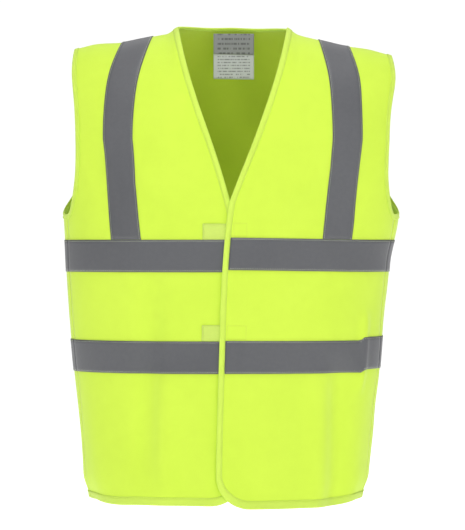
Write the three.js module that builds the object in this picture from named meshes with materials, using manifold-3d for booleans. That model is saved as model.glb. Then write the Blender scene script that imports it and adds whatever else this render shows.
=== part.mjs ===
// High visibility vest: sleeveless, V-necked, open at the front, closed by two hook-and-loop pads.
// Millimetres, +Z up, front towards -Y, the wearer's left towards +X. Z = 0 is the neck points of the shoulders.
//
// The cloth lies on a master surface: below the chest line each level is a closed superellipse, and above it
// front and back round over to meet at the shoulder seam. Every piece is a flat pattern outline (q across the
// cloth from the centre line, h up it) with a thickness, laid on that surface in its own layer.
import * as THREE from "three";
import Module from "manifold-3d";

const wasm = await Module();
wasm.setup();
const { CrossSection } = wasm;

// ---------------------------------------------------------------- driving dimensions
const LENGTH = 750; // neck point to hem
const CHEST_WIDTH = 536; // armpit to armpit, worn shape
const HEM_WIDTH = 446; // side to side at the hem
const CHEST_DEPTH = 266; // front to back at the armpit
const HEM_DEPTH = 316; // front to back at the hem
const SHOULDER_WIDTH = 498; // armhole edge to armhole edge
const SHOULDER_DROP = 39; // fall of the shoulder seam from neck point to tip
const NECK_WIDTH = 174; // neck point to neck point
const V_DROP = 280; // neck point to the foot of the V
const BACK_NECK_DROP = 38; // along the cloth, neck point to the middle of the back neck
const ARMHOLE_DROP = 296; // neck point to the bottom of the armhole
const ARMHOLE_SCOOP = 70; // height of the curve at the bottom of the armhole
const TAPE_WIDTH = 50; // reflective tape
const UPPER_TAPE_DROP = 336; // neck point to the top edge of the upper tape
const TAPE_SPACING = 157; // upper tape's top edge to lower tape's top edge
const BRACE_OFFSET = 180; // centre line of a brace from the middle, on the chest
const BRACE_TOE = 11; // how far a brace leans inboard by the upper hoop
const BRACE_LEAN = 20; // how far a brace leans inboard by the shoulder
const LEFT_FRONT_PAST_CENTRE = 13; // outer front edge past the middle
const RIGHT_FRONT_PAST_CENTRE = 28; // inner front edge past the middle
const EDGE_EASE = 200; // height over which a front edge runs out past the middle
const CORNER_RADIUS = 50; // lower front corners
const EDGE_BINDING = 8; // visible width of the binding on neck and front edges
const ARM_BINDING = 8;
const HEM_BINDING = 12;
const LOOP_SIZE = [61, 25]; // loop pad, right front, outside
const HOOK_SIZE = [33, 25]; // hook pad, left front, inside
const LABEL_WIDTH = 65;
const CARE_LABEL_LENGTH = 73;
const SIZE_LABEL_LENGTH = 33;
const SEAM_FORWARD = 40; // the side seams sit this far forward of the widest point
const FOLD_TOP = [50, 110]; // fold of an opened front: distance from the middle and below the neck point, at the V
const FOLD_HEM = 165; // the same fold's distance from the middle at the hem

// ---------------------------------------------------------------- cloth layers, measured outward from the surface
const CLOTH = 1.2; // panel thickness
const TRIM = 0.8; // tape, binding and pad thickness
const GAP = 0.3;
const PANEL = [0, CLOTH];
const OUTER = [CLOTH + GAP, CLOTH + GAP + TRIM];
const INNER = [-GAP - TRIM, -GAP];
const LIFT = OUTER[1] + GAP + GAP + TRIM + 0.2; // the left front lies this far out where it covers the right

// ---------------------------------------------------------------- master surface
const POWER = 2.2;
const CHEST_Z = -180; // above this the cloth rounds over to the shoulder
const ROUND = 222; // length of cloth from the chest line to the shoulder seam
const TOP = CHEST_Z + ROUND;
const HEM = -LENGTH;
const ARMPIT = -ARMHOLE_DROP;
const UPPER = -UPPER_TAPE_DROP;
const LOWER = UPPER - TAPE_SPACING;

const mix = (a, b, t) => a + (b - a) * t;
const clamp = (t) => Math.min(1, Math.max(0, t));
const smooth = (t) => clamp(t) ** 2 * (3 - 2 * clamp(t));
// half width and half depth of the section at level z
function sectionSize(z, face) {
  const low = clamp((ARMPIT - z) / (ARMPIT - HEM));
  const high = clamp((z - ARMPIT) / (CHEST_Z - ARMPIT));
  const width = mix(CHEST_WIDTH / 2, HEM_WIDTH / 2, 0.28 * low + 0.72 * smooth(low)) + 12 * high;
  const share = face < 0 ? 0.485 : 0.515;
  const fall = face < 0 ? low : smooth(low / 0.25) * 0.3 + smooth((low - 0.75) / 0.25) * 0.7;
  return [width, share * mix(CHEST_DEPTH, HEM_DEPTH, fall) * (1 - 0.05 * high)];
}
// quarter of a superellipse as points with their arc length, from the middle to the side
function quarter([w, d]) {
  const rows = [[0, d, 0]];
  for (let i = 1; i <= 160; i++) {
    const t = (i / 160) * (Math.PI / 2);
    const x = w * Math.sin(t) ** (2 / POWER), y = i === 160 ? 0 : d * Math.cos(t) ** (2 / POWER);
    const [px, py, s] = rows[i - 1];
    rows.push([x, y, s + Math.hypot(x - px, y - py)]);
  }
  return rows;
}
const sections = new Map();
function section(z, face) {
  const key = `${z.toFixed(3)},${face}`;
  if (!sections.has(key)) {
    const own = quarter(sectionSize(z, face)), far = quarter(sectionSize(z, -face));
    const side = own.at(-1)[2], end = far.at(-1)[2];
    const rest = far.slice(0, -1).reverse().map(([x, y, s]) => [x, -y, side + end - s]);
    sections.set(key, { side, rows: [...own, ...rest] });
  }
  return sections.get(key);
}
function acrossAt(z, face, q) {
  const { rows } = section(z, face), s = Math.abs(q);
  let i = rows.findIndex((r) => r[2] >= s);
  if (i < 1) i = i < 0 ? rows.length - 1 : 1;
  const a = rows[i - 1], b = rows[i], t = (s - a[2]) / (b[2] - a[2]);
  return [Math.sign(q) * mix(a[0], b[0], t), mix(a[1], b[1], t)];
}
// distance along the section to the point at x, on the near side of the widest point
function across(z, face, x) {
  const { rows } = section(z, face), s = Math.abs(x);
  const i = Math.max(1, rows.findIndex((r) => r[0] >= s));
  const a = rows[i - 1], b = rows[i];
  return Math.sign(x) * mix(a[2], b[2], (s - a[0]) / (b[0] - a[0]));
}
const level = (h) => Math.min(h, CHEST_Z);
const seamHeight = (x) => {
  const tip = (Math.abs(x) / (SHOULDER_WIDTH / 2)) ** 1.55, neck = (NECK_WIDTH / SHOULDER_WIDTH) ** 1.55;
  return (-SHOULDER_DROP * (tip - neck)) / (1 - neck);
};
function surface(q, h, face) {
  const [x, y] = acrossAt(level(h), face, q);
  if (h <= CHEST_Z) return new THREE.Vector3(x, face * y, h);
  const turn = ((h - CHEST_Z) / ROUND) * (Math.PI / 2);
  return new THREE.Vector3(x, face * y * Math.cos(turn), mix(CHEST_Z, seamHeight(x), Math.sin(turn)));
}
function outward(q, h, face) {
  const e = 0.5, hi = Math.min(h + e, TOP), lo = hi - 2 * e;
  const across_ = surface(q + e, h, face).sub(surface(q - e, h, face));
  const up = surface(q, hi, face).sub(surface(q, lo, face));
  return across_.cross(up).normalize().multiplyScalar(face < 0 ? 1 : -1);
}
// height on the cloth of the point at x and z
const upTo = (x, z) =>
  z <= CHEST_Z ? z : CHEST_Z + (ROUND * Math.asin(clamp((z - CHEST_Z) / (seamHeight(x) - CHEST_Z)))) / (Math.PI / 2);
const seamAt = (h, face) => section(Math.min(h, ARMPIT), face).side + face * SEAM_FORWARD;

// ---------------------------------------------------------------- facets that all pieces share
const ROWS = [
  HEM - 3, mix(HEM, LOWER - TAPE_WIDTH, 0.5), LOWER - TAPE_WIDTH, LOWER, LOWER + 10, UPPER - TAPE_WIDTH - 10,
  UPPER - TAPE_WIDTH, UPPER, ARMPIT, mix(ARMPIT, CHEST_Z, 0.5), CHEST_Z,
  ...[1, 2, 3, 4, 5, 6].map((i) => CHEST_Z + (ROUND * i) / 6),
];
function lattice(face, lift) {
  const columns = [];
  if (face < 0) for (let k = -1; k <= 9; k++) columns.push(k / 9);
  else for (let k = -10; k <= 11; k++) columns.push((k - 0.5) / 10.5);
  const nodes = ROWS.map((h) =>
    columns.map((u, k) => {
      const q = u * seamAt(h, face);
      const out = lift ? lift * clamp((5 - k) / 2) : 0;
      return { q, h, p: surface(q, h, face), n: outward(q, h, face), out };
    }),
  );
  const triangles = [];
  for (let j = 0; j + 1 < nodes.length; j++)
    for (let k = 0; k + 1 < columns.length; k++) {
      const [a, b, c, d] = [nodes[j][k], nodes[j][k + 1], nodes[j + 1][k + 1], nodes[j + 1][k]];
      if (face > 0 && k < columns.length / 2 - 0.5) triangles.push([a, b, d], [b, c, d]);
      else triangles.push([a, b, c], [a, c, d]);
    }
  return { face, triangles };
}
const RIGHT = lattice(-1, 0), LEFT = lattice(-1, LIFT), BACK = lattice(1, 0);

// ---------------------------------------------------------------- from outline to solid
// Outline regions, each with the layers it fills, become one closed body on the facets of a lattice.
function shell(lat, regions, mirror) {
  const points = [], grid = new Map();
  const cell = (q, h) => `${Math.round(q * 10)},${Math.round(h * 10)}`;
  const index = (q, h, tri) => {
    for (let a = -1; a <= 1; a++)
      for (let b = -1; b <= 1; b++)
        for (const i of grid.get(cell(q + a * 0.1, h + b * 0.1)) ?? [])
          if (Math.hypot(points[i].q - q, points[i].h - h) < 0.0003) return i;
    const key = cell(q, h);
    grid.set(key, [...(grid.get(key) ?? []), points.length]);
    return points.push({ q, h, tri }) - 1;
  };
  let faces = [];
  const area = (a, b, c) => (b.q - a.q) * (c.h - a.h) - (c.q - a.q) * (b.h - a.h);
  regions.forEach(({ outline, layers }, r) => {
    const box = outline.bounds();
    for (const tri of lat.triangles) {
      const qs = tri.map((v) => v.q), hs = tri.map((v) => v.h);
      if (Math.max(...qs) < box.min[0] || Math.min(...qs) > box.max[0]) continue;
      if (Math.max(...hs) < box.min[1] || Math.min(...hs) > box.max[1]) continue;
      const cut = outline.intersect(new CrossSection([tri.map((v) => [v.q, v.h])], "NonZero"));
      for (const part of cut.decompose()) {
        if (part.area() < 1e-4) continue;
        const [rim, ...holes] = part.toPolygons().map((l) => l.map(([q, h]) => new THREE.Vector2(q, h)));
        const all = [rim, ...holes].flat();
        for (const t of THREE.ShapeUtils.triangulateShape(rim, holes)) {
          const ids = t.map((i) => index(all[i].x, all[i].y, tri));
          if (new Set(ids).size === 3) faces.push({ ids, r });
        }
      }
    }
  });
  // a corner on another facet's edge becomes a corner of that facet too, so that edges match; facets with no width are left out
  const along = (i, j, v) => {
    const a = points[i], dq = points[j].q - a.q, dh = points[j].h - a.h, len = Math.hypot(dq, dh);
    const pq = points[v].q - a.q, ph = points[v].h - a.h, t = (pq * dq + ph * dh) / len;
    return t > 0.0002 && t < len - 0.0002 && Math.abs(pq * dh - ph * dq) / len < 0.001 ? t : null;
  };
  faces = faces.filter(({ ids: [i, j, k] }) => along(i, j, k) === null && along(j, k, i) === null && along(k, i, j) === null);
  faces = faces.flatMap(({ ids, r }) => {
    const rim = [];
    for (let e = 0; e < 3; e++) {
      const i = ids[e], j = ids[(e + 1) % 3];
      const on = points.map((_, v) => [ids.includes(v) ? null : along(i, j, v), v]).filter(([t]) => t !== null);
      rim.push(i, ...on.sort((x, y) => x[0] - y[0]).map(([, v]) => v));
    }
    const cut = [];
    let left = area(...ids.map((i) => points[i]));
    while (rim.length > 3) {
      const ears = rim.map((v, n) => {
        const t = [rim.at(n - 1), v, rim[(n + 1) % rim.length]];
        const size = area(...t.map((i) => points[i]));
        return { n, t, size: size > left * 0.9999 ? -1 : size };
      });
      const ear = ears.reduce((x, y) => (y.size > x.size ? y : x));
      cut.push({ ids: ear.t, r });
      left -= ear.size;
      rim.splice(ear.n, 1);
    }
    return [...cut, { ids: rim, r }];
  });
  const place = ({ q, h, tri }, d) => {
    const [a, b, c] = tri, whole = area(a, b, c);
    const w = [area({ q, h }, b, c) / whole, area(a, { q, h }, c) / whole, area(a, b, { q, h }) / whole];
    const p = new THREE.Vector3();
    tri.forEach((v, i) => p.addScaledVector(v.p, w[i]).addScaledVector(v.n, w[i] * (d + v.out)));
    return mirror ? p.setX(-p.x) : p;
  };
  const position = [], seen = new Map(), triangles = [];
  const corner = (i, d) => {
    const key = `${i},${d}`;
    if (!seen.has(key)) {
      seen.set(key, position.length / 3);
      position.push(...place(points[i], d).toArray());
    }
    return seen.get(key);
  };
  const turned = lat.face > 0 !== Boolean(mirror);
  const add = (a, b, c) => triangles.push(...(turned ? [a, c, b] : [a, b, c]));
  const edges = new Map(), heights = points.map(() => new Set());
  for (const { ids, r } of faces)
    for (let e = 0; e < 3; e++) {
      edges.set(`${ids[e]},${ids[(e + 1) % 3]}`, r);
      for (const d of regions[r].layers.flat()) heights[ids[e]].add(d);
    }
  for (const { ids, r } of faces) {
    for (const [lo, hi] of regions[r].layers) {
      add(...ids.map((i) => corner(i, hi)));
      add(...[...ids].reverse().map((i) => corner(i, lo)));
    }
    for (let e = 0; e < 3; e++) {
      const i = ids[e], j = ids[(e + 1) % 3], other = edges.get(`${j},${i}`);
      if (other === r) continue;
      const levels = [...new Set([...heights[i], ...heights[j]])].sort((x, y) => x - y);
      const filled = (set, x) => set.some(([lo, hi]) => x > lo && x < hi);
      const open = levels.slice(1).map((hi, n) => [levels[n], hi]).filter(([lo, hi]) => {
        const mid = (lo + hi) / 2;
        return filled(regions[r].layers, mid) && !(other !== undefined && filled(regions[other].layers, mid));
      });
      const joined = [];
      for (const [lo, hi] of open)
        if (joined.length && joined.at(-1)[1] === lo) joined.at(-1)[1] = hi;
        else joined.push([lo, hi]);
      for (const [lo, hi] of joined) {
        const chain = (v) => [...heights[v]].filter((d) => d >= lo && d <= hi).sort((x, y) => x - y);
        const left = chain(i), right = chain(j);
        let a = 0, b = 0;
        while (a + 1 < left.length || b + 1 < right.length)
          if (b + 1 >= right.length || (a + 1 < left.length && left[a + 1] <= right[b + 1])) {
            add(corner(j, right[b]), corner(i, left[a + 1]), corner(i, left[a]));
            a++;
          } else {
            add(corner(i, left[a]), corner(j, right[b]), corner(j, right[b + 1]));
            b++;
          }
      }
    }
  }
  const g = new THREE.BufferGeometry();
  g.setAttribute("position", new THREE.Float32BufferAttribute(position, 3));
  g.setIndex(triangles);
  g.computeVertexNormals();
  return g;
}

// ---------------------------------------------------------------- outlines
const shape = (list) => new CrossSection([list], "NonZero");
const box = (q0, q1, h0, h1) => shape([[q0, h0], [q1, h0], [q1, h1], [q0, h1]]);
const WIDE = 420; // larger than any outline
const steps = (n, f) => Array.from({ length: n + 1 }, (_, i) => f(i / n));

const armEdge = across(CHEST_Z, -1, SHOULDER_WIDTH / 2 - 1);
// the armhole's edge from the bottom, at the side seam and past it, up to the shoulder
function armhole(face) {
  const side = seamAt(ARMPIT, face);
  const edge = face < 0 ? armEdge : across(CHEST_Z, 1, SHOULDER_WIDTH / 2 - 1);
  return [
    [side + 60, ARMPIT],
    ...steps(5, (t) => [
      edge + (side - edge) * (1 - Math.sin((t * Math.PI) / 2)),
      ARMPIT + ARMHOLE_SCOOP * (1 - Math.cos((t * Math.PI) / 2)),
    ]),
    [edge, CHEST_Z], [edge, TOP + 40],
  ];
}
// the V's edge from the neck point down, then the front edge and the rounded corner to the hem
const vHalf = (z) => {
  const t = clamp(-z / V_DROP);
  return (NECK_WIDTH / 2) * (1 - t) * (1 + 0.12 * Math.sin(Math.PI * t)) ;
};
function frontEdge(past) {
  const list = [[across(CHEST_Z, -1, NECK_WIDTH / 2), TOP + 40], [across(CHEST_Z, -1, NECK_WIDTH / 2), TOP]];
  for (const t of [0.06, 0.14, 0.24, 0.34, 0.44, 0.55, 0.66, 0.78, 0.9, 1]) {
    const z = -V_DROP * t, x = vHalf(z);
    list.push([x < 1e-6 ? 0 : across(level(upTo(x, z)), -1, x), upTo(x, z)]);
  }
  for (const t of [0.15, 0.3, 0.5, 0.75, 1]) list.push([-past * (1 - (1 - t) ** 2), -V_DROP - EDGE_EASE * t]);
  list.push(
    ...steps(5, (t) => [
      -past + CORNER_RADIUS * (1 - Math.cos((t * Math.PI) / 2)),
      HEM + CORNER_RADIUS * (1 - Math.sin((t * Math.PI) / 2)),
    ]),
  );
  return list;
}
const clothFront = (past) => shape([...frontEdge(past), [WIDE, HEM], [WIDE, ARMPIT], ...armhole(-1)].reverse());
const backNeck = across(CHEST_Z, 1, NECK_WIDTH / 2);
const clothBack = shape([
  [-WIDE, HEM], [WIDE, HEM], [WIDE, ARMPIT], ...armhole(1),
  ...steps(10, (t) => {
    const q = backNeck * (1 - 2 * t);
    return [q, TOP - BACK_NECK_DROP * (1 - (Math.abs(q) / backNeck) ** 2.6)];
  }).flatMap((p, i) => (i === 0 ? [[p[0], TOP + 40], p] : i === 10 ? [p, [p[0], TOP + 40]] : [p])),
  ...armhole(1).reverse().map(([q, h]) => [-q, h]), [-WIDE, ARMPIT],
]);
// what lies inside the seams of one panel
function withinSeams(face) {
  const right = ROWS.map((h) => [seamAt(h, face) - 0.2, h]);
  right[right.length - 1][1] = TOP - 0.2;
  return face < 0
    ? shape([[-60, ROWS[0]], ...right, [-60, TOP - 0.2]])
    : shape([...right.map(([q, h]) => [-q, h]).reverse(), ...right]);
}
// the fold of an opened front, and what lies on either side of it
const foldX = (z) => mix(FOLD_TOP[0], FOLD_HEM, (z + FOLD_TOP[1]) / (HEM + FOLD_TOP[1]));
const foldTop = upTo(foldX(-FOLD_TOP[1]), -FOLD_TOP[1]);
const foldLine = [];
for (const h of [HEM - 10, ...ROWS.filter((r) => r > HEM && r < foldTop), foldTop]) {
  let x = foldX(h);
  for (let i = 0; i < 20; i++) x = foldX(h <= CHEST_Z ? h : mix(CHEST_Z, seamHeight(x), Math.sin(((h - CHEST_Z) / ROUND) * (Math.PI / 2))));
  foldLine.push([across(level(h), -1, x), h]);
}
const flapZone = shape([[-60, HEM - 10], ...foldLine.map(([q, h]) => [q - 0.25, h - 0.2]), [-60, foldTop - 0.2]]);
const fixedZone = shape([
  ...foldLine.map(([q, h]) => [q + 0.25, h + 0.2]), [-60, foldTop + 0.2], [-60, TOP + 50], [WIDE, TOP + 50], [WIDE, HEM - 10],
]);

// a binding: a strip folded round the edge of the cloth, with a leg on each face
function binding(cloth, width, zone) {
  const near = cloth.offset(GAP, "Miter", 2), far = cloth.offset(GAP + TRIM, "Miter", 2);
  return [
    { outline: near.subtract(cloth.offset(-width, "Miter", 2)).intersect(zone), layers: [INNER, OUTER] },
    { outline: far.subtract(near).intersect(zone), layers: [[INNER[0], OUTER[1]]] },
  ];
}
// bands of tape: two hoops, and a brace that runs from the upper hoop over the shoulder
const hoops = { upper: [UPPER - TAPE_WIDTH, UPPER], lower: [LOWER - TAPE_WIDTH, LOWER] };
function brace(face) {
  const middle = (h) => across(
    level(h), face,
    BRACE_OFFSET - BRACE_TOE * clamp((CHEST_Z - h) / (CHEST_Z - UPPER)) - BRACE_LEAN * smooth((h - CHEST_Z) / ROUND),
  );
  const rows = ROWS.filter((h) => h >= UPPER);
  rows[0] = UPPER + GAP;
  return shape([
    ...rows.map((h) => [middle(h) + TAPE_WIDTH / 2, h]), ...rows.map((h) => [middle(h) - TAPE_WIDTH / 2, h]).reverse(),
  ]);
}

// ---------------------------------------------------------------- materials and assembly
const paint = {
  cloth: { color: 0xd6f23c, roughness: 0.85 },
  binding: { color: 0xb9d230, roughness: 0.8 },
  tape: { color: 0x8b8d92, roughness: 0.45, metalness: 0.1 },
  pad: { color: 0xe2f265, roughness: 0.95 },
  label: { color: 0xe9eaec, roughness: 0.6 },
};
const vest = new THREE.Group();
vest.name = "high_visibility_vest";
function piece(name, kind, geometry) {
  const mesh = new THREE.Mesh(geometry, new THREE.MeshStandardMaterial(paint[kind]));
  mesh.name = name;
  vest.add(mesh);
  return mesh;
}
const slab = (outline, layer) => [{ outline, layers: [layer] }];
const seamZone = { [-1]: withinSeams(-1), 1: withinSeams(1) };
const neckSide = shape([[-60, HEM], [-60, TOP + 50], [across(CHEST_Z, -1, NECK_WIDTH / 2) + 40, TOP + 50], [130, CHEST_Z], [130, HEM]]);
const edgeZone = box(-60, WIDE, HEM + CORNER_RADIUS, TOP + 50).intersect(neckSide);
const hemZone = box(-WIDE, WIDE, HEM - 10, HEM + CORNER_RADIUS);
const armZone = box(across(CHEST_Z, -1, 200), WIDE, ARMPIT - 40, TOP + 50);

for (const [side, lat, past, mirror] of [
  ["left", LEFT, LEFT_FRONT_PAST_CENTRE, false],
  ["right", RIGHT, RIGHT_FRONT_PAST_CENTRE, true],
]) {
  const cloth = clothFront(past), seams = seamZone[-1];
  const fixed = fixedZone.intersect(seams), flap = flapZone.intersect(seams);
  const put = (name, kind, regions) => piece(`${name}_${side}`, kind, shell(lat, regions, mirror));
  put("front_panel", "cloth", slab(cloth.intersect(fixed), PANEL));
  put("front_flap", "cloth", slab(cloth.intersect(flap), PANEL));
  put("neck_binding_front", "binding", binding(cloth, EDGE_BINDING, edgeZone.intersect(fixed)));
  put("armhole_binding_front", "binding", binding(cloth, ARM_BINDING, armZone.intersect(fixed)));
  put("hem_binding_front", "binding", binding(cloth, HEM_BINDING, hemZone.intersect(fixed)));
  put("front_edge_binding", "binding", binding(cloth, EDGE_BINDING, flap));
  const inside = cloth.offset(-EDGE_BINDING - GAP, "Miter", 2);
  for (const [name, [h0, h1]] of Object.entries(hoops)) {
    const band = box(-60, WIDE, h0, h1).intersect(inside);
    put(`${name}_tape_front`, "tape", slab(band.intersect(flap), OUTER));
    put(`${name}_tape_side`, "tape", slab(band.intersect(fixed), OUTER));
  }
  put("brace_front", "tape", slab(brace(-1).intersect(fixed), OUTER));
  for (const [name, [, top]] of Object.entries(hoops)) {
    const hook = side === "left", [w, h] = hook ? HOOK_SIZE : LOOP_SIZE;
    const start = -past + EDGE_BINDING + GAP + 0.2;
    put(`${hook ? "hook" : "loop"}_pad_${name}`, "pad",
      slab(box(start, start + w, top + GAP, top + GAP + h).intersect(inside), hook ? INNER : OUTER));
  }
}

const back = seamZone[1];
piece("back_panel", "cloth", shell(BACK, slab(clothBack.intersect(back), PANEL)));
piece("neck_binding_back", "binding", shell(BACK, binding(clothBack, EDGE_BINDING, box(-120, 120, TOP - 90, TOP + 50).intersect(back))));
piece("hem_binding_back", "binding", shell(BACK, binding(clothBack, HEM_BINDING, hemZone.intersect(back))));
for (const [side, sign] of [["left", 1], ["right", -1]]) {
  const zone = sign > 0 ? armZone : armZone.mirror([1, 0]);
  piece(`armhole_binding_back_${side}`, "binding", shell(BACK, binding(clothBack, ARM_BINDING, zone.intersect(back))));
  const strap = sign > 0 ? brace(1) : brace(1).mirror([1, 0]);
  piece(`brace_back_${side}`, "tape", shell(BACK, slab(strap.intersect(back), OUTER)));
}
for (const [name, [h0, h1]] of Object.entries(hoops))
  piece(`${name}_tape_back`, "tape", shell(BACK, slab(box(-WIDE, WIDE, h0, h1).intersect(back), OUTER)));

// the two labels hang from the middle of the back neck, the short one nearest the wearer
const neck = surface(0, TOP - BACK_NECK_DROP, 1);
for (const [name, length, front] of [["size_label", SIZE_LABEL_LENGTH, 0.9], ["care_label", CARE_LABEL_LENGTH, 0]]) {
  const g = new THREE.BoxGeometry(LABEL_WIDTH, 0.6, length);
  piece(name, "label", g.translate(0, neck.y - 2.4 - front, neck.z - EDGE_BINDING - length / 2));
}

export default vest;
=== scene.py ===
# High visibility vest: the visual model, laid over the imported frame.
# Blender works in metres; the cloth is laid out in millimetres.
import math

import bmesh
import bpy
import numpy as np
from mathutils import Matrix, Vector


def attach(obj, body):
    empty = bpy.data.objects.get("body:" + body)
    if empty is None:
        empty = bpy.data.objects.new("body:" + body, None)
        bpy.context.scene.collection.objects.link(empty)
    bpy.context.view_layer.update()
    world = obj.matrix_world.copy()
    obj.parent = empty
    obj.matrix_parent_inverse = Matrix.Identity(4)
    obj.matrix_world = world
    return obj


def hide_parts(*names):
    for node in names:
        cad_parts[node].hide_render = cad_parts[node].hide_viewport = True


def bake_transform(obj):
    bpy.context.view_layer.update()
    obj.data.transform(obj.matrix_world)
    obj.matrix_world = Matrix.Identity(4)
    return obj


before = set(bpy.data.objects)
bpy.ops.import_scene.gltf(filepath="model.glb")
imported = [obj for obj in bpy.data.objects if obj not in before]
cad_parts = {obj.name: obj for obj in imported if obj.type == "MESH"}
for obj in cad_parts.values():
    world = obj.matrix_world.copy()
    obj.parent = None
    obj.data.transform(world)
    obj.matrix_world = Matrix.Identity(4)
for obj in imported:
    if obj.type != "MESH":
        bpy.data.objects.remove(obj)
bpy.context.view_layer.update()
rng = np.random.default_rng(7)

# ------------------------------------------------------------------ sizes, as in the part's source
LENGTH, CHEST_WIDTH, HEM_WIDTH = 750, 536, 446
CHEST_DEPTH, HEM_DEPTH = 266, 316
SHOULDER_WIDTH, SHOULDER_DROP, NECK_WIDTH = 498, 39, 174
V_DROP, BACK_NECK_DROP, ARMHOLE_DROP, ARMHOLE_SCOOP = 280, 38, 296, 70
TAPE_WIDTH, UPPER_TAPE_DROP, TAPE_SPACING = 50, 336, 157
BRACE_OFFSET, BRACE_TOE, BRACE_LEAN = 180, 11, 20
PAST_CENTRE, EDGE_EASE = {1: 13, -1: 28}, 200
CORNER_RADIUS, EDGE_BINDING, ARM_BINDING, HEM_BINDING = 50, 8, 8, 12
LOOP_SIZE, HOOK_SIZE = (61, 25), (33, 25)
LABEL_WIDTH, CARE_LABEL_LENGTH, SIZE_LABEL_LENGTH = 65, 73, 33
SEAM_FORWARD = 40
POWER, CHEST_Z, ROUND, LIFT = 2.2, -180, 222, 3.9
TOP, HEM, ARMPIT, UPPER = CHEST_Z + ROUND, -LENGTH, -ARMHOLE_DROP, -UPPER_TAPE_DROP
LOWER = UPPER - TAPE_SPACING
FRONT, REAR = -1, 1


def mix(a, b, t):
    return a + (b - a) * t


def smooth(t):
    t = np.clip(t, 0, 1)
    return t * t * (3 - 2 * t)


def bell(x, width):
    return np.exp(-((x / width) ** 2))


# ------------------------------------------------------------------ the surface the cloth lies on
def section_size(z, face):
    low = np.clip((ARMPIT - z) / (ARMPIT - HEM), 0, 1)
    high = np.clip((z - ARMPIT) / (CHEST_Z - ARMPIT), 0, 1)
    width = mix(CHEST_WIDTH / 2, HEM_WIDTH / 2, 0.28 * low + 0.72 * smooth(low)) + 12 * high
    share = 0.485 if face == FRONT else 0.515
    fall = low if face == FRONT else smooth(low / 0.25) * 0.3 + smooth((low - 0.75) / 0.25) * 0.7
    return width, share * mix(CHEST_DEPTH, HEM_DEPTH, fall) * (1 - 0.05 * high)


def quarter(w, d):
    t = np.linspace(0, math.pi / 2, 400)
    x, y = w * np.sin(t) ** (2 / POWER), d * np.clip(np.cos(t), 0, 1) ** (2 / POWER)
    y[-1] = 0
    return x, y, np.r_[0, np.cumsum(np.hypot(np.diff(x), np.diff(y)))]


sections = {}


def section(z, face):
    key = (round(float(z), 2), face)
    if key not in sections:
        x, y, s = quarter(*section_size(z, face))
        fx, fy, fs = quarter(*section_size(z, -face))
        sections[key] = (
            s[-1],
            np.r_[x, fx[-2::-1]],
            np.r_[y, -fy[-2::-1]],
            np.r_[s, s[-1] + fs[-1] - fs[-2::-1]],
        )
    return sections[key]


def across(z, face, x):
    side, xs, _, s = section(z, face)
    n = len(xs) // 2 + 1
    return np.sign(x) * np.interp(abs(x), xs[:n], s[:n])


def seam_at(h, face):
    return section(min(h, ARMPIT), face)[0] + face * SEAM_FORWARD


def seam_height(x):
    tip, neck = (np.abs(x) / (SHOULDER_WIDTH / 2)) ** 1.55, (NECK_WIDTH / SHOULDER_WIDTH) ** 1.55
    return -SHOULDER_DROP * (tip - neck) / (1 - neck)


def bare(q, h, face):
    """Point on the undisturbed surface; h is one value or at or above the chest line all along."""
    q, h = np.broadcast_arrays(np.asarray(q, float), np.asarray(h, float))
    level = min(float(h.min()), CHEST_Z)
    _, xs, ys, s = section(level, face)
    x, y = np.sign(q) * np.interp(np.abs(q), s, xs), np.interp(np.abs(q), s, ys)
    turn = np.clip((h - CHEST_Z) / ROUND, 0, 1.02) * math.pi / 2
    over = h > CHEST_Z
    z = np.where(over, mix(CHEST_Z, seam_height(x), np.sin(turn)), h)
    return np.stack([x, face * y * np.where(over, np.cos(turn), 1), z], -1)


# soft folds: (face, line from (s, h) to (s, h), width, depth)
# s is the distance from the middle, to the wearer's left
FOLDS = [
    (FRONT, (-122, -400), (-128, -690), 21, -8.5),
    (FRONT, (-98, -550), (-92, -740), 18, 7.0),
    (FRONT, (178, -540), (186, -760), 22, -10.0),
    (FRONT, (148, -550), (150, -760), 19, 7.0),
    (FRONT, (-60, -300), (-150, -240), 15, 3.4),
    (FRONT, (70, -300), (150, -215), 16, 3.6),
    (FRONT, (-175, -395), (-60, -480), 18, 3.6),
    (FRONT, (60, -470), (170, -395), 18, -3.6),
    (FRONT, (232, -455), (219, -570), 9, 6.5),
    (FRONT, (120, -60), (95, -200), 22, 2.0),
    (FRONT, (-118, -60), (-95, -200), 22, 2.0),
    (FRONT, (228, -190), (170, -330), 18, -3.0),
    (FRONT, (-228, -190), (-170, -330), 18, -3.0),
    (REAR, (-210, -200), (-120, -340), 24, -3.5),
    (REAR, (210, -200), (120, -340), 24, -3.5),
    (REAR, (-90, -520), (-100, -760), 18, -6.0),
    (REAR, (-50, -540), (-54, -760), 24, 4.0),
    (REAR, (70, -530), (78, -760), 18, -6.0),
    (REAR, (120, -560), (126, -760), 26, 5.0),
    (REAR, (-190, -400), (-60, -460), 26, 2.5),
    (REAR, (200, -400), (60, -470), 26, 2.5),
    (REAR, (0, -120), (10, -300), 40, -3.0),
]


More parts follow.
